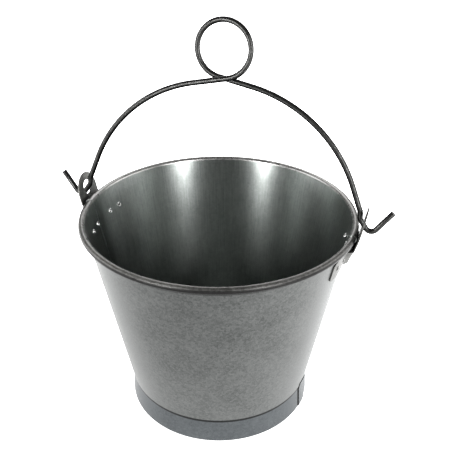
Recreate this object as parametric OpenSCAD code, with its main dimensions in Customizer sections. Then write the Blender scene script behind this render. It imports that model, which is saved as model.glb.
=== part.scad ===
// Galvanised pail for cut flowers: a tapered body of two lapped half sheets,
// a wired rim, a raised bottom in a foot hoop, two riveted ears and a rod bail.
// Millimetres, +Z up, origin on the floor at the centre of the foot hoop.
// The ears and the bail's pivot line lie along X.

/* [Body] */
// Outer diameter over the rolled rim
rim_d = 300; // [290:1:310]
// Height of the top of the rim
rim_h = 233.2; // [228:0.1:240]
// Angle between the wall and the vertical
taper = 11.05; // [10.5:0.05:11.5]
// Thickness of the galvanised sheet
sheet = 0.8; // [0.7:0.05:0.9]
// Diameter of the wire inside the rim
rim_wire_d = 5.6; // [5:0.1:5.8]
// Angle by which the front sheet's edges are tucked inside the back sheet
lap_angle = 4.5; // [3:0.5:5]

/* [Base] */
// Outer diameter of the foot hoop at the floor
foot_d = 207.4; // [204:0.2:208]
// Height of the foot hoop that shows below the body
foot_h = 29.3; // [26:0.1:32]
// Height of the underside of the raised bottom
bottom_z = 26; // [22:0.5:28]
// Height that the hoop and the bottom's flange reach inside the body
tuck_h = 37; // [35:0.5:40]
// Where the visible end of the lapped hoop strip lies, around +Z from +X
hoop_lap_at = -12; // [-16:0.5:-10]
// Angle that the lapped end covers
hoop_lap_angle = 9; // [6:0.5:10]
// Height of the lapped end, which passes outside the body's lower edge
hoop_lap_h = 34; // [32:0.5:36]

/* [Ears] */
// Thickness of the ear plates
ear_t = 1.5; // [1.2:0.1:1.6]
// Width of the riveted band of an ear
ear_w = 93; // [88:1:96]
// Height of the riveted band
ear_band_h = 24; // [20:1:26]
// Radius of the tab's round top
tab_r = 20; // [18:0.5:21]
// Height of the top of the tab
tab_top = 258; // [256:0.5:259]
// Diameter of the hole that the bail hooks through
ear_hole_d = 15.6; // [15.4:0.1:17]
// Height of the rivets on the wall
rivet_z = 205; // [203:0.5:207]
// Angle from the ear's middle to the inner rivets
rivet_inner = 6.9; // [6.8:0.1:7.5]
// Angle from the ear's middle to the outer rivets
rivet_outer = 14.2; // [13:0.1:15]
// Diameter of the rivet shanks
rivet_d = 4; // [3.6:0.1:4.2]

/* [Bail] */
// Diameter of the rod
rod_d = 6; // [5.5:0.1:6]
// Height of the pivot line through the ears' holes
pivot_z = 240; // [239.5:0.1:240.5]
// Radius of the big arch, to the rod's middle
arch_r = 150.7; // [149:0.1:152]
// Radius of the ring at the top, to the rod's middle
ring_r = 28.5; // [26:0.5:30]
// Distance from the pivot line to the ring's middle
ring_up = 164.7; // [160:0.1:168]
// Angle that the bail leans back from the vertical
lean = 7.3; // [0:0.1:15]

/* [Hidden] */
RIVETS = [
    ["rivet_right_front_outer", -rivet_outer],
    ["rivet_right_front_inner", -rivet_inner],
    ["rivet_right_back_inner", rivet_inner],
    ["rivet_right_back_outer", rivet_outer],
    ["rivet_left_back_outer", 180 - rivet_outer],
    ["rivet_left_back_inner", 180 - rivet_inner],
    ["rivet_left_front_inner", 180 + rivet_inner],
    ["rivet_left_front_outer", 180 + rivet_outer],
];

// Rolled rim
curl_ri = rim_wire_d / 2 + 0.05;
curl_ro = curl_ri + sheet;
curl_mid = rim_d / 2 - curl_ro;
curl_z = rim_h - curl_ro;
curl_end = 235; // where the roll stops, around the wire
roll_overlap = 4; // angle of the roll that lies inside the wall strip
edge_gap = 0.1; // angle between the two sheets' edges on the wall
wall_t = sheet / cos(taper); // the sheet's thickness, measured level

// Ears: the plate stands clear of the rolled rim, and bends a little below it
tab_slope = 0.198; // outward run for each unit of height, above the bend
skirt_slope = 0.29; // the same below the bend
bend_z = 232;
tab_x_at_bend = 152.9; // the plate's middle surface
ear_z0 = rivet_z - ear_band_h / 2;
ear_z1 = rivet_z + ear_band_h / 2;
ear_corner_r = 6;
fold_bottom = 6; // half width of the raised middle at the band's bottom
fold_top = 19; // and at its top
fold_run = 4; // width of the sloping web beside it
ear_hole_z = pivot_z + 2;
ear_band_angle = asin(ear_w / 2 / (rim_d / 2)) + 4;

// Rivets
rivet_gap = 0.02;
rivet_out_r = 2.8;
rivet_in_r = 3.1;
rivet_dome = 1.2;

// Bail: the arch's middle lies below the pivot line
arch_up = -18.1;
strand_gap = rod_d + 0.2; // between the two strands where they cross
leg_angle = 22; // the leg's angle from the vertical
leg_x = 150; // where the leg comes down inside the ear
leg_bend_r = 15;
entry_bend_r = 8;
entry_angle = 55; // the rod's slope where it passes through the ear
hook_r = 6.5;
hook_low = -6.1; // lowest point of the hook's middle line
hook_angle = 53; // the slope of the hook's end
hook_len = 25.5;
pivot_x = tab_x_at_bend + (pivot_z - bend_z) * tab_slope;
tangent_angle = acos((arch_r + ring_r) / (ring_up - arch_up));
ring_steps = 32;
rod_sides = 16;

// Outer radius of the wall at height z
function wall_r(z) = curl_mid - (curl_ro - sheet) / cos(taper) - (curl_z - z) * tan(taper);
// Level distance of the ear plate's middle surface from the axis at height z
function ear_x(z) = tab_x_at_bend + (z - bend_z) * (z > bend_z ? tab_slope : skirt_slope);
// Half width at the foot of the ear's raised middle at height z
function fold_y(z) = fold_bottom + (fold_top - fold_bottom) * (z - ear_z0) / ear_band_h;

// A part of a ring from angle a0 to a1, turned from a 2D profile
module sector(a0, a1) {
    rotate([0, 0, a0]) rotate_extrude(angle = a1 - a0, $fn = 180) children();
}

// Where a line along the wall, n sheets inside its outer face, meets the roll
function roll_start(n) = [curl_mid, curl_z] - [cos(taper), -sin(taper)] * (curl_ri + n * sheet);

// Section of a sheet whose wall lies n sheets inside the outer face, and whose roll
// then lies n sheets outside the roll next to the wire: the wall strip from height z
// up, and the roll to the angle stop
module sheet_section(n, z, stop = curl_end) {
    start = 180 - taper + roll_overlap;
    polygon([
        [wall_r(z) - (n + 1) * wall_t, z],
        [wall_r(z) - n * wall_t, z],
        roll_start(n),
        roll_start(n + 1),
    ]);
    translate([curl_mid, curl_z]) difference() {
        circle(r = curl_ri + (n + 1) * sheet, $fn = 64);
        circle(r = curl_ri + n * sheet, $fn = 64);
        polygon([
            [0, 0],
            10 * [cos(start), sin(start)],
            10 * [cos(205), sin(205)],
            10 * [cos(stop), sin(stop)],
        ]);
    }
}

// Local frame of a rivet: +Z points out of the wall, square to it
module at_rivet(a) {
    rotate([0, 0, a]) translate([wall_r(rivet_z), 0, rivet_z]) rotate([0, 90 + taper, 0]) children();
}

module rivet_holes(angles) {
    for (a = angles)
        at_rivet(a) cylinder(d = rivet_d + 2 * rivet_gap, h = 12, center = true, $fn = 32);
}

// The half sheet at -Y. Each of its edges is a flap that steps inward by one
// thickness, and so lies inside the other sheet on the wall and outside it round the roll.
module body_front() {
    edge = lap_angle + edge_gap;
    flap_z = tuck_h + 0.5;
    flap_n = 1 + 0.02 / sheet;
    color("silver") difference() {
        union() {
            sector(180 + edge, 360 - edge) sheet_section(0, foot_h);
            for (side = [0, 1])
                mirror([side, 0, 0]) {
                    sector(180, 181 + lap_angle) sheet_section(flap_n, flap_z);
                    sector(180.2 + lap_angle, 180.8 + lap_angle) sheet_section(0.5, flap_z + 1, curl_end + 5);
                }
        }
        rivet_holes([-rivet_outer, -rivet_inner, 180 + rivet_inner, 180 + rivet_outer]);
    }
}

module body_back() {
    color("silver") difference() {
        sector(-lap_angle, 180 + lap_angle) sheet_section(0, foot_h);
        rivet_holes([rivet_inner, rivet_outer, 180 - rivet_outer, 180 - rivet_inner]);
    }
}

module rim_wire() {
    color("dimgray") rotate_extrude($fn = 180)
        translate([curl_mid, curl_z]) circle(d = rim_wire_d, $fn = 48);
}

// A disc with an upturned flange, which sits inside the hoop
module bottom_plate() {
    top = bottom_z + sheet;
    out_0 = wall_r(bottom_z) - 2 * wall_t;
    color("darkgray") rotate_extrude($fn = 180) polygon([
        [0, bottom_z],
        [out_0 - 1.5, bottom_z],
        [out_0, bottom_z + 1.5],
        [wall_r(tuck_h) - 2 * wall_t, tuck_h],
        [wall_r(tuck_h) - 3 * wall_t, tuck_h],
        [out_0 - wall_t, bottom_z + 1.8],
        [out_0 - 1.8, top],
        [0, top],
    ]);
}

// A strip bent round to a ring, with its last stretch lapped over its first: the
// lap passes outside the body's lower edge
module base_hoop() {
    low_r = foot_d / 2;
    top_r = wall_r(foot_h) - wall_t;
    weld = sheet / 4;
    lap_z0 = 0.3;
    lap_z1 = foot_h - 0.1;
    lap_out = 0.02;
    outer = function(z) low_r + (top_r - low_r) * z / foot_h;
    color("lightsteelblue") union() {
        rotate_extrude($fn = 180) polygon([
            [low_r - sheet, 0],
            [low_r, 0],
            [top_r, foot_h],
            [wall_r(tuck_h) - wall_t, tuck_h],
            [wall_r(tuck_h) - 2 * wall_t, tuck_h],
            [wall_r(bottom_z) - 2 * wall_t, bottom_z],
        ]);
        sector(hoop_lap_at, hoop_lap_at + hoop_lap_angle) polygon([
            [outer(lap_z0) - weld, lap_z0],
            [outer(lap_z1) - weld, lap_z1],
            [wall_r(lap_z1) + lap_out, lap_z1],
            [wall_r(hoop_lap_h) + lap_out, hoop_lap_h],
            [wall_r(hoop_lap_h) + lap_out + sheet, hoop_lap_h],
            [wall_r(foot_h) + lap_out + sheet, foot_h],
            [outer(lap_z0) + sheet, lap_z0],
        ]);
    }
}

// 2D shapes of an ear as seen from outside: x runs along the rim, y is the height
module band_outline() {
    w = ear_w / 2;
    r = ear_corner_r;
    difference() {
        union() {
            translate([-w + r, ear_z0]) square([2 * w - 2 * r, ear_band_h]);
            translate([-w, ear_z0 + r]) square([2 * w, ear_band_h - 2 * r]);
            for (x = [-w + r, w - r], y = [ear_z0 + r, ear_z1 - r])
                translate([x, y]) circle(r = r, $fn = 48);
        }
        polygon([
            [-fold_y(ear_z0 - 1), ear_z0 - 1],
            [fold_y(ear_z0 - 1), ear_z0 - 1],
            [fold_y(ear_z1 + 1), ear_z1 + 1],
            [-fold_y(ear_z1 + 1), ear_z1 + 1],
        ]);
    }
}

module tab_outline() {
    spread_z = ear_z1 + (tab_r - fold_top + fold_run) * ear_band_h / (fold_top - fold_bottom);
    foot = fold_y(ear_z0) - fold_run;
    round_z = tab_top - tab_r;
    polygon([
        [-foot, ear_z0],
        [foot, ear_z0],
        [tab_r, spread_z],
        [tab_r, round_z],
        [-tab_r, round_z],
        [-tab_r, spread_z],
    ]);
    translate([0, round_z]) circle(r = tab_r, $fn = 96);
}

// The sloping web between the raised middle and a foot
module ear_web() {
    bar = 1.3;
    hull() for (z = [ear_z0 + 0.7, ear_z1 - 0.7]) {
        y = fold_y(z) + 0.6;
        foot_mid = wall_r(z) + ear_t / 2 / cos(taper);
        translate([sqrt(foot_mid * foot_mid - y * y), y, z]) cube(bar, center = true);
        translate([ear_x(z), y - fold_run - 1.2, z]) cube(bar, center = true);
    }
}

// An ear at +X: two feet on the wall, and a raised middle that passes outside
// the rolled rim and ends in a tab with the bail's hole
module ear() {
    half_t = ear_t / 2;
    color("gray") difference() {
        union() {
            intersection() {
                sector(-ear_band_angle, ear_band_angle) polygon([
                    [wall_r(ear_z0 - 2), ear_z0 - 2],
                    [wall_r(ear_z0 - 2) + ear_t / cos(taper), ear_z0 - 2],
                    [wall_r(ear_z1 + 2) + ear_t / cos(taper), ear_z1 + 2],
                    [wall_r(ear_z1 + 2), ear_z1 + 2],
                ]);
                rotate([90, 0, 90]) linear_extrude(rim_d) band_outline();
            }
            intersection() {
                rotate([90, 0, 0]) linear_extrude(3 * tab_r, center = true) polygon([
                    [ear_x(ear_z0 - 1) - half_t, ear_z0 - 1],
                    [ear_x(ear_z0 - 1) + half_t, ear_z0 - 1],
                    [ear_x(bend_z) + half_t, bend_z],
                    [ear_x(tab_top + 1) + half_t, tab_top + 1],
                    [ear_x(tab_top + 1) - half_t, tab_top + 1],
                    [ear_x(bend_z) - half_t, bend_z],
                ]);
                rotate([90, 0, 90]) linear_extrude(rim_d) tab_outline();
            }
            ear_web();
            mirror([0, 1, 0]) ear_web();
        }
        translate([rim_d / 2, 0, ear_hole_z]) rotate([0, 90, 0])
            cylinder(d = ear_hole_d, h = 40, center = true, $fn = 64);
        rivet_holes([-rivet_outer, -rivet_inner, rivet_inner, rivet_outer]);
    }
}

module ear_right() {
    ear();
}

module ear_left() {
    mirror([1, 0, 0]) ear();
}

// A domed head outside the ear's foot, a shank, and a flatter head inside the wall
module rivet(a) {
    clear = 0.05; // the flat heads stay this far off the curved sheets
    color("gainsboro") at_rivet(a) union() {
        translate([0, 0, -sheet - clear]) cylinder(d = rivet_d, h = sheet + ear_t + 2 * clear, $fn = 32);
        translate([0, 0, ear_t + clear]) rivet_head(rivet_out_r, rivet_dome);
        translate([0, 0, -sheet - clear]) mirror([0, 0, 1]) rivet_head(rivet_in_r, rivet_dome * 0.8);
    }
}

// A spherical cap of radius r and height h, standing on z = 0
module rivet_head(r, h) {
    ball = (r * r + h * h) / (2 * h);
    rotate_extrude($fn = 48) intersection() {
        translate([0, h - ball]) circle(r = ball, $fn = 96);
        square([r + 1, h + 1]);
    }
}

// Points of an arc in the bail's plane: [across, up]
function arc(c, r, a0, a1, n) =
    [for (i = [0:n]) let (a = a0 + (a1 - a0) * i / n) c + r * [cos(a), sin(a)]];

// The right arm's middle line, from the ring down to the hook's end
function arm_line() = let (
    dir = function(a) [cos(a), sin(a)],
    arch = arc([0, arch_up], arch_r, 90 - tangent_angle, leg_angle, 24),
    arch_end = arch[24],
    leg_run = (leg_x - leg_bend_r * (1 - cos(leg_angle)) - arch_end[0]) / sin(leg_angle),
    leg_end = arch_end + leg_run * dir(leg_angle - 90),
    leg_bend = arc(leg_end - leg_bend_r * dir(leg_angle), leg_bend_r, leg_angle, 0, 3),
    turn = 90 - entry_angle,
    entry_x = leg_x + entry_bend_r * (1 - cos(turn)),
    entry_up = (pivot_x - entry_x) * tan(entry_angle),
    entry_mid = [leg_x + entry_bend_r, entry_up + entry_bend_r * sin(turn)],
    entry = arc(entry_mid, entry_bend_r, 180, 180 + turn, 4),
    hook_drop = hook_low + hook_r * (1 - cos(entry_angle)),
    hook_mid = [pivot_x - hook_drop / tan(entry_angle) + hook_r * sin(entry_angle), hook_low + hook_r],
    hook = arc(hook_mid, hook_r, 270 - entry_angle, 270 + hook_angle, 10),
    tip = hook[10] + hook_len * dir(hook_angle)
) concat(arch, [leg_end], [for (i = [1:3]) leg_bend[i]], entry, hook, [tip]);

// The ring's middle line in 3D: one full turn that moves back by strand_gap
function ring_line() = [for (i = [0:ring_steps])
    let (a = tangent_angle + (360 - 2 * tangent_angle) * i / ring_steps)
    [ring_r * sin(a), -strand_gap / 2 * cos(180 * i / ring_steps), ring_up - ring_r * cos(a)]
];

// The whole rod from the left hook, in front at the crossing, round the ring
// and behind the crossing to the right hook
function bail_line() = let (arm = arm_line(), n = len(arm)) concat(
    [for (i = [n - 1:-1:0]) [-arm[i][0], -strand_gap / 2, arm[i][1]]],
    ring_line(),
    [for (p = arm) [p[0], strand_gap / 2, p[1]]]
);

// A round rod swept along points that never run along Y
module rod_along(line, d, sides) {
    n = len(line);
    rings = [for (i = [0:n - 1])
        let (
            ahead = line[min(i + 1, n - 1)] - line[max(i - 1, 0)],
            t = ahead / norm(ahead),
            side = cross(t, [0, 1, 0]),
            u = side / norm(side),
            v = cross(t, u)
        )
        for (k = [0:sides - 1]) line[i] + d / 2 * (cos(360 * k / sides) * u + sin(360 * k / sides) * v)
    ];
    walls = [for (i = [0:n - 2], k = [0:sides - 1])
        let (next = (k + 1) % sides)
        [i * sides + k, (i + 1) * sides + k, (i + 1) * sides + next, i * sides + next]
    ];
    polyhedron(
        points = rings,
        faces = concat(walls, [[for (k = [0:sides - 1]) k], [for (k = [sides - 1:-1:0]) (n - 1) * sides + k]]),
        convexity = 6
    );
}

module bail_handle() {
    yaw = asin(strand_gap / 2 / pivot_x);
    color("dimgray") translate([0, 0, pivot_z]) rotate([-lean, 0, 0]) rotate([0, 0, -yaw])
        rod_along(bail_line(), rod_d, rod_sides);
}

body_front();
body_back();
rim_wire();
bottom_plate();
base_hoop();
ear_left();
ear_right();
for (r = RIVETS) rivet(r[1]);
bail_handle();
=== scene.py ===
"""A galvanised pail for cut flowers: two lapped half sheets round a wired rim, a foot hoop,
two riveted ears and a rod bail. Metres, +Z up, the same frame as the CAD."""

import math

import bmesh
import bpy
import numpy as np
from mathutils import Matrix, Vector
from mathutils.geometry import delaunay_2d_cdt


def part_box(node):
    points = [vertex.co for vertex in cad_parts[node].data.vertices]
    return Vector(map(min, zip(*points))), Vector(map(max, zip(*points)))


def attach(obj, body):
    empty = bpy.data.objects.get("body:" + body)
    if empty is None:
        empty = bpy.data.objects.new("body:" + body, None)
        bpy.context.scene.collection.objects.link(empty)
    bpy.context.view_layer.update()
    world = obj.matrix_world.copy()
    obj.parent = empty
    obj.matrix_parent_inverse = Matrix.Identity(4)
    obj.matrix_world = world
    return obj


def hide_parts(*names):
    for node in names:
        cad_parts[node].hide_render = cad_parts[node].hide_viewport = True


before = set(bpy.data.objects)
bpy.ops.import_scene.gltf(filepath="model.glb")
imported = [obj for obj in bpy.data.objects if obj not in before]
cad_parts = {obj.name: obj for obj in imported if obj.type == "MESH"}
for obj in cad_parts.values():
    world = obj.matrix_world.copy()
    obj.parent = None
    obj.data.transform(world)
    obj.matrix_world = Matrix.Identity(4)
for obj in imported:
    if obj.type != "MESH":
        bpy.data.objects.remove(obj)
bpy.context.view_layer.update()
MM = 0.001

# ---- Sizes ------------------------------------------------------------------------------

sheet_low, sheet_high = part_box("body_back")
hoop_low, hoop_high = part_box("base_hoop")
wire_low, wire_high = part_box("rim_wire")

TAPER = math.radians(11.05)
SHEET = 0.8 * MM
WALL_T = SHEET / math.cos(TAPER)  # the sheet's thickness, measured level
RIM_R = sheet_high.x
RIM_H = sheet_high.z
FOOT_H = sheet_low.z
FOOT_R = -hoop_low.y
TUCK_H = hoop_high.z
BOTTOM_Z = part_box("bottom_plate")[0].z
CURL_RI = (wire_high.z - wire_low.z) / 2 + 0.05 * MM
CURL_RO = CURL_RI + SHEET
CURL_MID = RIM_R - CURL_RO
CURL_Z = RIM_H - CURL_RO
CURL_END = math.radians(235)  # where the roll stops, around the wire
LAP = 4.5  # degrees by which the front sheet is tucked inside the back sheet
LAP_GAP = 0.02 * MM
HOOP_LAP = (-12.0, -3.0)  # degrees
HOOP_LAP_H = 34 * MM

EAR_T = 1.5 * MM
EAR_BAND = (193 * MM, 217 * MM)
EAR_HALF_W = 46.5 * MM
EAR_CORNER_R = 6 * MM
TAB_R = 20 * MM
TAB_TOP = 258 * MM
BEND_Z = 232 * MM
TAB_X_AT_BEND = 152.9 * MM
TAB_SLOPE = 0.198
SKIRT_SLOPE = 0.29
FOLD = (6 * MM, 19 * MM)  # half width at the foot of the raised middle, bottom and top
FOLD_RUN = 4 * MM
HOLE_R = 7.8 * MM
HOLE_Z = 242 * MM

RIVET_Z = 205 * MM
RIVET_R = 2 * MM
RIVET_GAP = 0.05 * MM
RIVET_ANGLES = {
    "rivet_right_front_outer": -14.2,
    "rivet_right_front_inner": -6.9,
    "rivet_right_back_inner": 6.9,
    "rivet_right_back_outer": 14.2,
    "rivet_left_back_outer": 165.8,
    "rivet_left_back_inner": 173.1,
    "rivet_left_front_inner": 186.9,
    "rivet_left_front_outer": 194.2,
}

ROD_R = 3 * MM
PIVOT_Z = 240 * MM
PIVOT_X = TAB_X_AT_BEND + (PIVOT_Z - BEND_Z) * TAB_SLOPE
LEAN = math.radians(7.3)
STRAND_GAP = 6.2 * MM
ARCH_UP = -18.1 * MM
ARCH_R = 150.7 * MM
RING_UP = 164.7 * MM
RING_R = 28.5 * MM
LEG_ANGLE = math.radians(22)
LEG_X = 150 * MM
LEG_BEND_R = 15 * MM
ENTRY_ANGLE = math.radians(55)
ENTRY_BEND_R = 8 * MM
HOOK_R = 6.5 * MM
HOOK_LOW = -6.1 * MM
HOOK_ANGLE = math.radians(53)
HOOK_LEN = 25.5 * MM

STEP = 1.5  # degrees between two columns of a turned sheet
VIEW = 16.8  # degrees by which the camera stands to the right of the pail's front


def wall_r(z):
    """Outer radius of the wall at height z."""
    return CURL_MID - (CURL_RO - SHEET) / math.cos(TAPER) - (CURL_Z - z) * math.tan(TAPER)


# ---- Materials --------------------------------------------------------------------------

SPANGLES = 420.0  # zinc spangles to the metre
# painted shade: a near-black colour mixed in where shade falls under the rim roll, at the body's lower
# edge and round the roll's outer side
PAINTED_SHADE = (0.015, 0.015, 0.015)
PAINTED_SHADE_DEPTH = 0.92
BUMP_DISTANCE = 0.2 * MM
MIX_SHARE, MIX_FIRST, MIX_SECOND, MIX_COLOUR = 0, 6, 7, 2  # a colour Mix node's sockets


class Nodes:
    """Builds a material's nodes with short calls."""

    def __init__(self, name):
        self.material = bpy.data.materials.new(name)
        self.material.use_nodes = True
        self.tree = self.material.node_tree
        self.shader = self.tree.nodes["Principled BSDF"]

    def add(self, kind, **settings):
        node = self.tree.nodes.new(kind)
        for key, value in settings.items():
            if key in node.inputs:
                node.inputs[key].default_value = value
            else:
                setattr(node, key, value)
        return node

    def link(self, source, target):
        self.tree.links.new(source, target)

    def coords(self, kind, scale=(1, 1, 1)):
        mapping = self.add("ShaderNodeMapping", Scale=scale)
        self.link(self.add("ShaderNodeTexCoord").outputs[kind], mapping.inputs["Vector"])
        return mapping.outputs["Vector"]

    def noise(self, vector, scale, detail=4.0, roughness=0.55):
        node = self.add("ShaderNodeTexNoise", Scale=scale, Detail=detail, Roughness=roughness)
        self.link(vector, node.inputs["Vector"])
        return node.outputs["Fac"]

    def cells(self, vector, scale):
        """A random value for each spangle of zinc."""
        node = self.add("ShaderNodeTexVoronoi", Scale=scale, Randomness=1.0)
        self.link(vector, node.inputs["Vector"])
        split = self.add("ShaderNodeSeparateColor")
        self.link(node.outputs["Color"], split.inputs[0])
        return split.outputs[0]

    def span(self, value, low, high, start=0.0, stop=1.0):
        """value from start..stop mapped to low..high."""
        node = self.add("ShaderNodeMapRange", clamp=True)
        for socket, number in zip((1, 2, 3, 4), (start, stop, low, high)):
            node.inputs[socket].default_value = number
        self.link(value, node.inputs[0])
        return node.outputs[0]

    def math(self, operation, a, b):
        node = self.add("ShaderNodeMath", operation=operation)
        for socket, value in zip(node.inputs, (a, b)):
            if isinstance(value, (int, float)):
                socket.default_value = value
            else:
                self.link(value, socket)
        return node.outputs[0]

    def tint(self, value, dark, light):
        """A colour between dark and light."""
        node = self.add("ShaderNodeMix", data_type="RGBA")
        node.inputs[MIX_FIRST].default_value = (*dark, 1)
        node.inputs[MIX_SECOND].default_value = (*light, 1)
        self.link(value, node.inputs[MIX_SHARE])
        return node.outputs[MIX_COLOUR]

    def tinted(self, value, colour, other):
        """The colour turned towards another."""
        node = self.add("ShaderNodeMix", data_type="RGBA")
        node.inputs[MIX_SECOND].default_value = (*other, 1)
        self.link(colour, node.inputs[MIX_FIRST])
        self.link(value, node.inputs[MIX_SHARE])
        return node.outputs[MIX_COLOUR]

    def worn(self, low, high):
        """0 on flat faces and 1 on outer edges."""
        return self.span(self.add("ShaderNodeNewGeometry").outputs["Pointiness"], 0, 1, low, high)

    def bump(self, height, strength):
        node = self.add("ShaderNodeBump", Strength=strength, Distance=BUMP_DISTANCE)
        self.link(height, node.inputs["Height"])
        self.link(node.outputs[0], self.shader.inputs["Normal"])

    def metal(self, colour, roughness):
        self.link(colour, self.shader.inputs["Base Color"])
        self.link(roughness, self.shader.inputs["Roughness"])
        self.shader.inputs["Metallic"].default_value = 1.0
        return self.material


def zinc(name, dark, light, rough, mottle=0.22, streak=0.0, painted_shade=(), drawn=0.0):
    """Galvanised sheet: spangles and cloudy stains, rolling marks up the wall if streaked, painted
    shade (a darker colour) where height passes through each (start, stop), and highlights drawn out up
    the wall."""
    n = Nodes(name)
    at = n.coords("Object")
    spangles = n.cells(at, SPANGLES)
    fine = n.noise(at, 800.0, 3.0)
    clouds = n.noise(at, 20.0, 5.0, 0.6)
    value = n.math("ADD", n.math("MULTIPLY", spangles, mottle), n.math("MULTIPLY", fine, mottle * 2))
    value = n.math("ADD", value, n.math("MULTIPLY", clouds, 0.5))
    middle = 0.25 + mottle * 1.5
    if streak:
        marks = n.noise(n.coords("UV", (500.0, 30.0, 1.0)), 1.0, 4.0, 0.6)
        value = n.math("ADD", value, n.math("MULTIPLY", n.math("SUBTRACT", marks, 0.5), streak))
    colour = n.tint(n.span(value, 0.0, 1.0, middle - 0.25, middle + 0.25), dark, light)
    height = n.add("ShaderNodeSeparateXYZ")
    n.link(at, height.inputs[0])
    # painted shade: the colour darkens towards the shade colour across each height band
    for start, stop in painted_shade:
        shade_share = n.span(height.outputs[2], 0.0, PAINTED_SHADE_DEPTH, start, stop)
        colour = n.tinted(shade_share, colour, PAINTED_SHADE)
    roughness = n.span(n.math("ADD", spangles, clouds), rough - 0.05, rough + 0.07, 0.3, 1.5)
    if drawn:
        roughness = n.span(clouds, rough - 0.02, rough + 0.03)
        n.bump(fine, 0.05)
        n.shader.inputs["Anisotropic"].default_value = drawn
        n.shader.inputs["Anisotropic Rotation"].default_value = 0.25
        tangent = n.add("ShaderNodeTangent", direction_type="RADIAL", axis="Z")
        n.link(tangent.outputs[0], n.shader.inputs["Tangent"])
    else:
        n.bump(n.math("ADD", fine, n.math("MULTIPLY", spangles, 0.5)), 0.1)
    return n.metal(colour, roughness)


def steel(name, dark, light, rough, scale=60.0, worn=(0.52, 0.6)):
    """Plated or bare steel with cloudy patches, fine scratches and paler edges."""
    n = Nodes(name)
    at = n.coords("Object")
    clouds = n.noise(at, scale, 5.0, 0.65)
    fine = n.noise(at, scale * 14, 3.0)
    value = n.math("ADD", n.math("MULTIPLY", clouds, 0.7), n.math("MULTIPLY", fine, 0.3))
    value = n.span(value, 0.0, 0.8, 0.35, 0.68)
    if worn:
        value = n.math("ADD", value, n.worn(*worn))
    roughness = n.span(fine, rough - 0.07, rough + 0.08, 0.3, 0.7)
    n.bump(n.math("ADD", fine, clouds), 0.15)
    return n.metal(n.tint(n.span(value, 0, 1), dark, light), roughness)


UNDER_ROLL = RIM_H - 2 * CURL_RO
OUTSIDE = zinc(
    "galvanised_outside",
    (0.078, 0.082, 0.08),
    (0.17, 0.175, 0.172),
    0.4,
    mottle=0.28,
    # painted shade: the wall darkens just under the rim roll and along its lowest edge over the hoop
    painted_shade=[(UNDER_ROLL - 5.5 * MM, UNDER_ROLL - 3.6 * MM), (FOOT_H + 0.8 * MM, FOOT_H)],
)
INSIDE = zinc(
    "galvanised_inside",
    (0.2, 0.215, 0.207),
    (0.34, 0.36, 0.348),
    0.31,
    mottle=0.12,
    streak=0.7,
    drawn=0.65,
)
# The roll is one face of the sheet in two copies: a lighter one on its inner upper side as painted
# light, a darker one round its outer side as painted shade.
ROLL_INNER_LIT = zinc("galvanised_roll", (0.22, 0.218, 0.21), (0.48, 0.475, 0.465), 0.3)
ROLL_OUTER_SHADED = zinc(
    "galvanised_roll_outer_painted_shade",
    (0.09, 0.088, 0.083),
    (0.24, 0.237, 0.228),
    0.4,
    # painted shade: the roll's outer side darkens below its top
    painted_shade=[(RIM_H - 0.6 * MM, RIM_H - 2.2 * MM)],
)
HOOP_COLOURS = (0.064, 0.07, 0.075), (0.122, 0.132, 0.138)
HOOP = zinc(
    "galvanised_hoop",
    *HOOP_COLOURS,
    0.42,
    # painted shadow: the hoop darkens in a band just under the body's lower edge
    painted_shade=[(FOOT_H - 3.5 * MM, FOOT_H - 2.7 * MM)],
)
# the same zinc without the painted shadow band, for the lapped end of the strip
HOOP_TONGUE = zinc("galvanised_hoop_lap", *HOOP_COLOURS, 0.42)
BOTTOM = zinc("galvanised_bottom", (0.14, 0.155, 0.145), (0.26, 0.275, 0.26), 0.42)
EAR = steel("ear_zinc", (0.06, 0.06, 0.056), (0.18, 0.18, 0.172), 0.45)
# painted highlight: the rivets' inner ends are much lighter than the wall, a bright ring round their
# painted-shade pits
RIVET = steel("rivet_zinc_painted_highlight", (0.55, 0.55, 0.54), (0.9, 0.9, 0.89), 0.24, 200.0)
RIVET_HEAD = steel("rivet_head_zinc", (0.1, 0.1, 0.096), (0.33, 0.33, 0.32), 0.35, 200.0)
# painted shade: near-black for the sheet ends in the lapped seams, the hoop column beside its lap, the
# rivet lips and the pits in the rivets' inner ends
PAINTED_SEAM_SHADE = steel("seam_painted_shade", (0.012, 0.012, 0.012), (0.03, 0.03, 0.03), 0.6, worn=None)
WIRE = steel("rim_wire_steel", (0.05, 0.05, 0.05), (0.2, 0.2, 0.2), 0.5)
ROD = steel("bail_rod_steel", (0.03, 0.03, 0.029), (0.07, 0.071, 0.069), 0.32, 160.0, worn=None)

# ---- Meshes -----------------------------------------------------------------------------


def make_piece(name, verts, faces, materials, node, body, picks=None, uvs=None, sharp=30.0):
    """A shown piece that stands for a CAD node and rides on a body."""
    mesh = bpy.data.meshes.new(name)
    mesh.from_pydata([tuple(v) for v in verts], [], faces)
    for material in materials:
        mesh.materials.append(material)
    if picks is not None:
        mesh.polygons.foreach_set("material_index", picks)
    if uvs is not None:
        layer = mesh.uv_layers.new(name="wall")
        for loop in mesh.loops:
            layer.data[loop.index].uv = uvs[loop.vertex_index]
    edit = bmesh.new()
    edit.from_mesh(mesh)
    bmesh.ops.remove_doubles(edit, verts=edit.verts, dist=1e-6)
    bmesh.ops.recalc_face_normals(edit, faces=edit.faces)
    edit.to_mesh(mesh)
    edit.free()
    mesh.shade_smooth()
    mesh.set_sharp_from_angle(angle=math.radians(sharp))
    mesh.validate()
    piece = bpy.data.objects.new(name, mesh)
    bpy.context.scene.collection.objects.link(piece)
    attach(piece, body)
    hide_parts(node)
    return piece


def arc(centre, radius, start, stop, count):
    """Points of an arc, start and stop included, angles in radians."""
    return [
        (centre[0] + radius * math.cos(a), centre[1] + radius * math.sin(a))
        for a in np.linspace(start, stop, count + 1)
    ]


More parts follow.
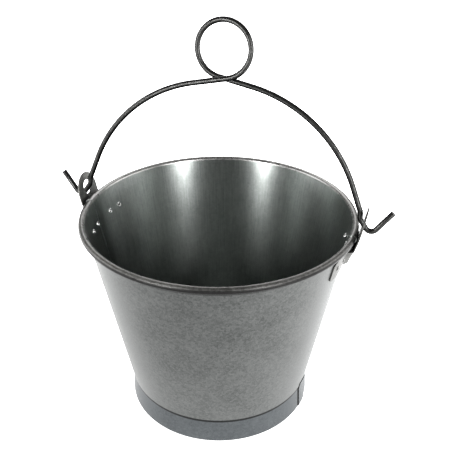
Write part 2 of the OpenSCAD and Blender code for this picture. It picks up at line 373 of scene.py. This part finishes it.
def turned(section, picks, start, stop, step=STEP, cap=0):
    """Verts, faces, material picks and UVs of a closed (r, z) section turned from start to stop
    degrees. cap is the pick of the two ends."""
    whole = stop - start >= 360
    columns = max(1, round((stop - start) / step))
    n = len(section)
    rows = columns if whole else columns + 1
    verts, uvs, faces, chosen = [], [], [], []
    for k in range(rows):
        a = math.radians(start + (stop - start) * k / columns)
        verts += [(r * math.cos(a), r * math.sin(a), z) for r, z in section]
        uvs += [(a * RIM_R, z) for _, z in section]
    for k in range(columns):
        here, there = k * n, ((k + 1) % rows) * n
        for i in range(n):
            j = (i + 1) % n
            faces.append((here + i, there + i, there + j, here + j))
            chosen.append(picks[i])
    if not whole:
        faces += [tuple(range(n)), tuple(range((rows - 1) * n, rows * n))]
        chosen += [cap] * 2
    return verts, faces, chosen, uvs


def joined(parts):
    """Several sets of verts, faces, picks and UVs as one."""
    verts, faces, picks, uvs = [], [], [], []
    for v, f, p, u in parts:
        faces += [tuple(i + len(verts) for i in face) for face in f]
        verts += v
        picks += p
        uvs += u
    return verts, faces, picks, uvs


FACE_OUT, FACE_IN, ROLL_OUT, ROLL_IN, SEAM = range(5)  # picks of a sheet's materials
WALL_ROWS = 12
ROLL_ROWS = 30
ROWS_TO_TOP = 22  # rows from the roll's end round the outside to its top


def sheet_section(n, low):
    """Section and picks of a sheet n sheets inside the wall, whose roll lies n sheets outside the
    roll's first turn."""
    centre = (CURL_MID, CURL_Z)
    start = math.pi - TAPER
    inner = CURL_RI + n * SHEET
    near = arc(centre, inner, start, CURL_END - 2 * math.pi, ROLL_ROWS)
    far = arc(centre, inner + SHEET, CURL_END - 2 * math.pi, start, ROLL_ROWS)
    heights = np.linspace(low, near[0][1], WALL_ROWS + 1)[:-1]
    outer_wall = [(wall_r(z) - n * WALL_T, z) for z in heights]
    inner_wall = [(wall_r(z) - (n + 1) * WALL_T, z) for z in reversed(heights)]
    section = outer_wall + near + far + inner_wall
    # ROLL_OUT takes the darker, painted-shade copy of the roll's zinc, ROLL_IN the lighter,
    # painted-light copy
    picks = [FACE_OUT] * WALL_ROWS + [ROLL_OUT] * (len(near) + ROWS_TO_TOP)
    picks += [ROLL_IN] * (ROLL_ROWS - ROWS_TO_TOP) + [FACE_IN] * WALL_ROWS + [FACE_OUT]
    return section, picks


def body_sheets():
    # the roll's outer side takes the shaded copy and its inner side the lit copy; the sheet ends at
    # the seams take painted shade
    slots = [OUTSIDE, INSIDE, ROLL_OUTER_SHADED, ROLL_INNER_LIT, PAINTED_SEAM_SHADE]
    whole = sheet_section(0, FOOT_H)
    flap = sheet_section(1 + LAP_GAP / SHEET, TUCK_H + 0.5 * MM)
    step = sheet_section(0.5, TUCK_H + 1.5 * MM)
    edge = LAP + 0.1
    front = [turned(*whole, 180 + edge, 360 - edge, cap=SEAM)]
    for side in (0, 1):
        spans = [(180, 181 + LAP), (180.2 + LAP, 180.8 + LAP)]
        if side:
            spans = [(540 - b, 540 - a) for a, b in spans]
        front += [turned(*flap, *spans[0], cap=FACE_IN), turned(*step, *spans[1])]
    pieces = {
        "body_front": joined(front),
        "body_back": turned(*whole, -LAP, 180 + LAP, cap=SEAM),
    }
    for node, (verts, faces, picks, uvs) in pieces.items():
        make_piece("sheet_" + node, verts, faces, slots, node, "bucket", picks, uvs)


def bottom():
    """A flat disc with a pressed ring near its edge and a rounded turn up to its flange."""
    out = wall_r(BOTTOM_Z) - 2 * WALL_T
    bend = 2.2 * MM
    top_r = wall_r(TUCK_H) - 2 * WALL_T
    ring = [(0.86, 0), (0.9, 0.35 * MM), (0.92, 0.5 * MM), (0.94, 0.35 * MM), (0.96, 0)]
    pressed = [(0, 0), (0.55, 0)] + ring

    def line(offset):
        corner = (out - offset - bend, BOTTOM_Z + offset + bend)
        flat = [(share * corner[0], BOTTOM_Z + offset + up) for share, up in pressed]
        turn = arc(corner, bend, -math.pi / 2, TAPER - 0.2, 6)
        return flat + turn + [(top_r - offset / math.cos(TAPER), TUCK_H)]

    section = line(0) + list(reversed(line(SHEET)))
    verts, faces, picks, uvs = turned(section, [0] * len(section), 0, 360)
    materials = [BOTTOM]
    node, slot = "bottom_plate", "galvanised_sheet"
    make_piece("dished_bottom", verts, faces, materials, node, "bucket", picks, uvs)


def hoop():
    """The foot hoop, with the end of its strip lapped over it and over the body's lower edge."""
    top_r = wall_r(FOOT_H) - WALL_T

    def outer(z):
        return FOOT_R + (top_r - FOOT_R) * z / FOOT_H

    edge = 0.25 * MM
    ring = [
        (FOOT_R - SHEET + edge, 0),
        (FOOT_R - edge, 0),
        (outer(edge), edge),
        *[(outer(FOOT_H * k / 6), FOOT_H * k / 6) for k in range(1, 7)],
        (wall_r(TUCK_H) - WALL_T, TUCK_H),
        (wall_r(TUCK_H) - 2 * WALL_T, TUCK_H),
        (wall_r(BOTTOM_Z) - 2 * WALL_T, BOTTOM_Z),
        (FOOT_R - SHEET, edge),
    ]
    weld = SHEET / 4
    low, high = 0.3 * MM, FOOT_H - 0.1 * MM
    gap = LAP_GAP
    lap = [
        (outer(low) - weld, low),
        (outer(high) - weld, high),
        (wall_r(high) + gap, high),
        (wall_r(HOOP_LAP_H) + gap, HOOP_LAP_H),
        (wall_r(HOOP_LAP_H) + gap + SHEET - edge, HOOP_LAP_H),
        (wall_r(HOOP_LAP_H) + gap + SHEET, HOOP_LAP_H - edge),
        (wall_r(FOOT_H) + gap + SHEET, FOOT_H),
        (outer(FOOT_H - 4 * MM) + SHEET, FOOT_H - 4 * MM),
        (outer(low) + SHEET, low + edge),
        (outer(low) + SHEET - edge, low),
    ]
    plain, seam, tongue = range(3)
    verts, faces, picks, uvs = turned(ring, [plain] * len(ring), 0, 360)
    # painted shadow: the hoop's column beside the lap's edge takes the painted seam shade
    beside = (round(HOOP_LAP[0] % 360 / STEP) - 1) * len(ring)
    picks[beside:beside + len(ring)] = [seam] * len(ring)
    over = turned(lap, [tongue] * len(lap), *HOOP_LAP, STEP / 2, cap=seam)
    verts, faces, picks, uvs = joined([(verts, faces, picks, uvs), over])
    materials = [HOOP, PAINTED_SEAM_SHADE, HOOP_TONGUE]
    node, slot = "base_hoop", "galvanised_hoop"
    make_piece("foot_hoop", verts, faces, materials, node, "bucket", picks, uvs)


# ---- Ears -------------------------------------------------------------------------------


def fold_y(z):
    """Half width at the foot of the ear's raised middle at height z."""
    low, high = EAR_BAND
    return FOLD[0] + (FOLD[1] - FOLD[0]) * (z - low) / (high - low)


def raised_x(z):
    """Level distance of the raised middle's centre surface from the axis."""
    return TAB_X_AT_BEND + (z - BEND_Z) * (TAB_SLOPE if z > BEND_Z else SKIRT_SLOPE)


def smooth(t):
    """0 to 1 with level ends."""
    t = min(max(t, 0.0), 1.0)
    return t * t * (3 - 2 * t)


def ear_x(y, z):
    """The ear's centre surface: feet that lie on the wall, webs, and the raised middle."""
    foot = math.sqrt((wall_r(z) + EAR_T / 2 / math.cos(TAPER) + 0.01 * MM) ** 2 - y * y)
    share = smooth((fold_y(z) + 0.6 * MM - abs(y)) / (FOLD_RUN + 1.2 * MM))
    if z > EAR_BAND[1] and abs(y) < TAB_R + MM:
        share = 1.0
    return foot + (raised_x(z) - foot) * share


def ear_outline():
    """The flat outline as (y, z) points: the band of the two feet and the tab."""
    low, high = EAR_BAND
    w, r = EAR_HALF_W, EAR_CORNER_R
    neck_r = 1.6 * MM
    spread = high + 0.8 * MM
    right = arc((w - r, low + r), r, -math.pi / 2, 0, 8)
    right += arc((w - r, high - r), r, 0, math.pi / 2, 8)
    right += [(TAB_R + neck_r, high)]
    right += arc((TAB_R + neck_r, spread + neck_r), neck_r, -math.pi / 2, -math.pi, 4)[1:]
    tab = arc((0, TAB_TOP - TAB_R), TAB_R, 0, math.pi, 48)
    left = [(-y, z) for y, z in reversed(right)]
    return right + tab + left


def resampled(points, gap):
    """The closed outline with a point at least every gap."""
    dense = []
    for a, b in zip(points, points[1:] + points[:1]):
        count = max(1, math.ceil(math.dist(a, b) / gap))
        for k in range(count):
            dense.append((a[0] + (b[0] - a[0]) * k / count, a[1] + (b[1] - a[1]) * k / count))
    return dense


def inside(point, outline):
    """Whether the point lies within the closed outline."""
    y, z = point
    hit = False
    for (y0, z0), (y1, z1) in zip(outline, outline[1:] + outline[:1]):
        if (z0 > z) != (z1 > z) and y < y0 + (z - z0) * (y1 - y0) / (z1 - z0):
            hit = not hit
    return hit


def ear_piece(side, name):
    """A pressed plate: the outline filled with fine triangles, lifted and thickened."""
    gap = 1.4 * MM
    outline = resampled(ear_outline(), gap)
    hole = arc((0, HOLE_Z), HOLE_R, 0, 2 * math.pi, 48)[:-1]
    grid = []
    for row, z in enumerate(np.arange(EAR_BAND[0] + gap, TAB_TOP, gap * 0.87)):
        for y in np.arange(-EAR_HALF_W, EAR_HALF_W, gap):
            point = (y + gap / 2 * (row % 2), z)
            off_edge = min(math.dist(point, other) for other in outline) >= gap * 0.6
            off_hole = abs(math.dist(point, (0, HOLE_Z)) - HOLE_R) > gap * 0.5
            if off_hole and off_edge and inside(point, outline):
                grid.append(point)
    points = [Vector(p) for p in outline + hole + grid]
    first = len(outline)
    loops = [(0, first), (first, first + len(hole))]
    edges = [(i, i + 1 if i + 1 < b else a) for a, b in loops for i in range(a, b)]
    flat, _, faces, _, _, _ = delaunay_2d_cdt(points, edges, [], 0, 1e-9)
    kept = []
    for face in faces:
        centre = sum((flat[i] for i in face), Vector((0, 0))) / 3
        if inside(centre, outline) and math.dist(centre, (0, HOLE_Z)) > HOLE_R:
            kept.append(tuple(face))
    used = sorted({i for face in kept for i in face})
    order = {i: k for k, i in enumerate(used)}
    kept = [tuple(order[i] for i in face) for face in kept]
    flat = [flat[i] for i in used]
    front, back = [], []
    delta = 0.05 * MM
    for y, z in flat:
        middle = Vector((ear_x(y, z), y, z))
        across = Vector((ear_x(y + delta, z) - ear_x(y - delta, z), 2 * delta, 0))
        up = Vector((ear_x(y, z + delta) - ear_x(y, z - delta), 0, 2 * delta))
        normal = across.cross(up).normalized()
        front.append(middle + normal * EAR_T / 2)
        back.append(middle - normal * EAR_T / 2)
    n = len(flat)
    uses = {}
    for a, b, c in kept:
        for edge in ((a, b), (b, c), (c, a)):
            uses[edge] = uses.get(edge, 0) + 1
    rim = [edge for edge in uses if (edge[1], edge[0]) not in uses]
    faces = kept + [(c + n, b + n, a + n) for a, b, c in kept] + [(b, a, a + n, b + n) for a, b in rim]
    verts = [Vector((side * v.x, v.y, v.z)) for v in front + back]
    node = "ear_right" if side > 0 else "ear_left"
    piece = make_piece(name, verts, faces, [EAR], node, "bucket", sharp=40.0)
    bevel = piece.modifiers.new("edges", "BEVEL")
    bevel.width = 0.3 * MM
    bevel.segments = 2
    bevel.limit_method = "ANGLE"
    bevel.angle_limit = math.radians(50)


# ---- Rivets -----------------------------------------------------------------------------


def rivet(name, angle):
    """A domed head outside the ear, a shank, and a flatter head inside the wall."""

    def dome(r, h, count):
        ball = (r * r + h * h) / (2 * h)
        lip = 0.3 * MM
        tilt = math.asin(r / ball)
        tilts = [tilt * k / count for k in range(count)]
        cap = [(ball * math.sin(a), h + ball * (math.cos(a) - 1)) for a in tilts]
        return cap + [(r, lip), (r - lip / 2, 0)]

    outer = [(r, EAR_T + RIVET_GAP + h) for r, h in dome(2.8 * MM, 1.2 * MM, 8)]
    seat = -SHEET - RIVET_GAP
    ring = arc((2.2 * MM, seat), 0.9 * MM, 0, -math.pi * 0.94, 8)
    inner = ring + [(1.1 * MM, seat - 0.12 * MM), (0, seat - 0.15 * MM)]
    section = outer + [(RIVET_R, EAR_T), (RIVET_R, -SHEET)] + inner
    end, crevice_shade, head = range(3)
    # the head's lip and the pit in the inner end take painted shade; the inner end's ring takes the
    # lighter, painted-highlight zinc
    picks = [head] * (len(outer) - 2) + [crevice_shade] * 4 + [end] * (len(ring) - 1) + [crevice_shade] * 2
    count = 28
    turn = Matrix.Rotation(math.radians(angle), 4, "Z")
    turn @= Matrix.Translation((wall_r(RIVET_Z), 0, RIVET_Z))
    turn @= Matrix.Rotation(math.pi / 2 + TAPER, 4, "Y")
    verts = []
    for k in range(count):
        a = 2 * math.pi * k / count
        verts += [turn @ Vector((r * math.cos(a), r * math.sin(a), z)) for r, z in section]
    n = len(section)
    faces = []
    for k in range(count):
        here, there = k * n, ((k + 1) % count) * n
        faces += [(here + i, here + i + 1, there + i + 1, there + i) for i in range(n - 1)]
    materials = [RIVET, PAINTED_SEAM_SHADE, RIVET_HEAD]
    make_piece("headed_" + name, verts, faces, materials, name, "bucket", picks * count, sharp=50.0)


# ---- Bail -------------------------------------------------------------------------------


def arm_line():
    """The right arm's middle line as (across, up), from the ring down to the hook's end."""
    tangent = math.acos((ARCH_R + RING_R) / (RING_UP - ARCH_UP))

    def direction(a):
        return np.array((math.cos(a), math.sin(a)))

    arch = arc((0, ARCH_UP), ARCH_R, math.pi / 2 - tangent, LEG_ANGLE, 48)
    arch_end = np.array(arch[-1])
    leg_run = (LEG_X - LEG_BEND_R * (1 - math.cos(LEG_ANGLE)) - arch_end[0]) / math.sin(LEG_ANGLE)
    leg_end = arch_end + leg_run * direction(LEG_ANGLE - math.pi / 2)
    leg_bend = arc(leg_end - LEG_BEND_R * direction(LEG_ANGLE), LEG_BEND_R, LEG_ANGLE, 0, 8)
    turn = math.pi / 2 - ENTRY_ANGLE
    entry_x = LEG_X + ENTRY_BEND_R * (1 - math.cos(turn))
    entry_up = (PIVOT_X - entry_x) * math.tan(ENTRY_ANGLE)
    entry_mid = (LEG_X + ENTRY_BEND_R, entry_up + ENTRY_BEND_R * math.sin(turn))
    entry = arc(entry_mid, ENTRY_BEND_R, math.pi, math.pi + turn, 8)
    hook_drop = HOOK_LOW + HOOK_R * (1 - math.cos(ENTRY_ANGLE))
    hook_x = PIVOT_X - hook_drop / math.tan(ENTRY_ANGLE) + HOOK_R * math.sin(ENTRY_ANGLE)
    hook_mid = (hook_x, HOOK_LOW + HOOK_R)
    hook = arc(hook_mid, HOOK_R, 1.5 * math.pi - ENTRY_ANGLE, 1.5 * math.pi + HOOK_ANGLE, 20)
    tip = np.array(hook[-1]) + HOOK_LEN * direction(HOOK_ANGLE)
    return arch + [tuple(leg_end)] + leg_bend[1:] + entry + hook + [tuple(tip)], tangent


def bail_line():
    """The rod's middle line: left hook, in front at the crossing, round the ring, right hook."""
    arm, tangent = arm_line()
    steps = 72
    ring = []
    for i in range(steps + 1):
        a = tangent + (2 * math.pi - 2 * tangent) * i / steps
        depth = -STRAND_GAP / 2 * math.cos(math.pi * i / steps)
        ring.append((RING_R * math.sin(a), depth, RING_UP - RING_R * math.cos(a)))
    left = [(-x, -STRAND_GAP / 2, up) for x, up in reversed(arm)]
    right = [(x, STRAND_GAP / 2, up) for x, up in arm]
    return left[:-1] + ring + right[1:]


def bail():
    """The round rod along its middle line, with chamfered ends."""
    line = [Vector(p) for p in bail_line()]
    yaw = math.asin(STRAND_GAP / 2 / PIVOT_X)
    place = Matrix.Translation((0, 0, PIVOT_Z))
    place = place @ Matrix.Rotation(-LEAN, 4, "X") @ Matrix.Rotation(-yaw, 4, "Z")
    sides = 20
    chamfer = 0.5 * MM
    stations = []
    for i, point in enumerate(line):
        ahead = (line[min(i + 1, len(line) - 1)] - line[max(i - 1, 0)]).normalized()
        if i in (0, len(line) - 1):
            inward = ahead if i == 0 else -ahead
            pair = [(point, ROD_R - chamfer, ahead), (point + inward * chamfer, ROD_R, ahead)]
            stations += pair if i == 0 else reversed(pair)
        else:
            stations.append((point, ROD_R, ahead))
    verts = []
    for point, radius, ahead in stations:
        u = ahead.cross(Vector((0, 1, 0))).normalized()
        v = ahead.cross(u)
        for k in range(sides):
            a = 2 * math.pi * k / sides
            verts.append(place @ (point + radius * (math.cos(a) * u + math.sin(a) * v)))
    faces = [tuple(range(sides)), tuple(range(len(verts) - sides, len(verts)))]
    for i in range(len(stations) - 1):
        for k in range(sides):
            j = (k + 1) % sides
            faces.append((i * sides + k, (i + 1) * sides + k, (i + 1) * sides + j, i * sides + j))
    make_piece("bail_rod", verts, faces, [ROD], "bail_handle", "bail", sharp=45.0)


# ---- Stage ------------------------------------------------------------------------------


def floor():
    """Pale paper with painted light: it glows by itself, brighter behind the pail, to its right and
    far away, dimmer in front of it.
    """
    mesh = bpy.data.meshes.new("floor")
    half = 40.0
    corners = [(-half, -half, 0), (half, -half, 0), (half, half, 0), (-half, half, 0)]
    mesh.from_pydata(corners, [], [(0, 1, 2, 3)])
    n = Nodes("floor_painted_glow")
    n.shader.inputs["Base Color"].default_value = (0.1, 0.1, 0.1, 1)
    n.shader.inputs["Roughness"].default_value = 0.9
    n.shader.inputs["Emission Color"].default_value = (1, 1, 1, 1)
    place = n.add("ShaderNodeSeparateXYZ")
    n.link(n.coords("Object"), place.inputs[0])
    right, behind, _ = place.outputs
    away = n.add("ShaderNodeVectorMath", operation="LENGTH")
    n.link(n.coords("Object"), away.inputs[0])
    # painted light: the glow is dimmer in front of the pail and brighter behind it and to its right
    glow = n.math("ADD", n.span(behind, 0.76, 4.2, -0.24, 0.5), n.span(right, 0.0, 0.8, -0.2, 0.4))
    glow = n.math("ADD", glow, n.span(away.outputs["Value"], 0.0, 0.4, 0.6, 1.4))
    n.link(glow, n.shader.inputs["Emission Strength"])
    mesh.materials.append(n.material)
    piece = bpy.data.objects.new("floor", mesh)
    piece.location.z = -0.2 * MM
    piece.rotation_euler.z = math.radians(VIEW)
    bpy.context.scene.collection.objects.link(piece)


def backdrop():
    """A white paper wall far round the pail, which only the camera sees, so it lights nothing."""
    sides, radius, height = 64, 30.0, 40.0
    ring = arc((0, 0), radius, 0, math.tau, sides)[:-1]
    points = [(x, y, z) for z in (-1.0, height) for x, y in ring]
    faces = [(k, (k + 1) % sides, (k + 1) % sides + sides, k + sides) for k in range(sides)]
    mesh = bpy.data.meshes.new("backdrop")
    mesh.from_pydata(points, [], faces)
    n = Nodes("backdrop_paper")
    n.shader.inputs["Base Color"].default_value = (0.8, 0.8, 0.8, 1)
    n.shader.inputs["Emission Color"].default_value = (1, 1, 1, 1)
    n.shader.inputs["Emission Strength"].default_value = 1.0
    mesh.materials.append(n.material)
    piece = bpy.data.objects.new("backdrop", mesh)
    piece.visible_diffuse = False
    piece.visible_glossy = False
    piece.visible_transmission = False
    piece.visible_shadow = False
    bpy.context.scene.collection.objects.link(piece)


def soft_light(name, place, target, size, watts):
    light = bpy.data.lights.new(name, "AREA")
    light.shape = "RECTANGLE"
    light.size, light.size_y = size
    light.energy = watts
    lamp = bpy.data.objects.new(name, light)
    lamp.location = place
    lamp.rotation_euler = (Vector(target) - Vector(place)).to_track_quat("-Z", "Y").to_euler()
    lamp.visible_camera = False
    bpy.context.scene.collection.objects.link(lamp)


def around(azimuth, distance, height):
    """A point round the pail, azimuth in degrees clockwise from the camera's side, seen from above."""
    a = math.radians(-90 + VIEW - azimuth)
    return (distance * math.cos(a), distance * math.sin(a), height)


def lights():
    world = bpy.data.worlds.new("studio")
    world.use_nodes = True
    world.node_tree.nodes["Background"].inputs["Color"].default_value = (1, 1, 1, 1)
    world.node_tree.nodes["Background"].inputs["Strength"].default_value = 0.22
    bpy.context.scene.world = world
    bpy.context.scene.view_settings.view_transform = "Standard"
    foot, aim = (0, 0, 0), (0, 0, 0.15)
    soft_light("back", around(180, 1.6, 1.6), foot, (2.4, 1.0), 14)
    for azimuth in (-33, 43):
        soft_light("strip", around(azimuth, 1.6, 0.64), aim, (0.22, 0.88), 21)
    for azimuth in (-93, 93):
        soft_light("side", around(azimuth, 1.5, 0.7), aim, (1.1, 0.9), 10)


def camera():
    data = bpy.data.cameras.new("camera")
    data.sensor_width = 36
    data.lens = 56.3
    eye = bpy.data.objects.new("camera", data)
    eye.location = (0.1958, -0.6487, 0.5945)
    eye.rotation_euler = Vector((-0.2402, 0.8375, -0.4908)).to_track_quat("-Z", "Y").to_euler()
    bpy.context.scene.collection.objects.link(eye)
    bpy.context.scene.camera = eye


camera()
body_sheets()
bottom()
hoop()
for side, name in ((1, "pressed_ear_right"), (-1, "pressed_ear_left")):
    ear_piece(side, name)
for name, angle in RIVET_ANGLES.items():
    rivet(name, angle)
bail()
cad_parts["rim_wire"].data.materials.clear()
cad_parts["rim_wire"].data.materials.append(WIRE)
floor()
backdrop()
lights()
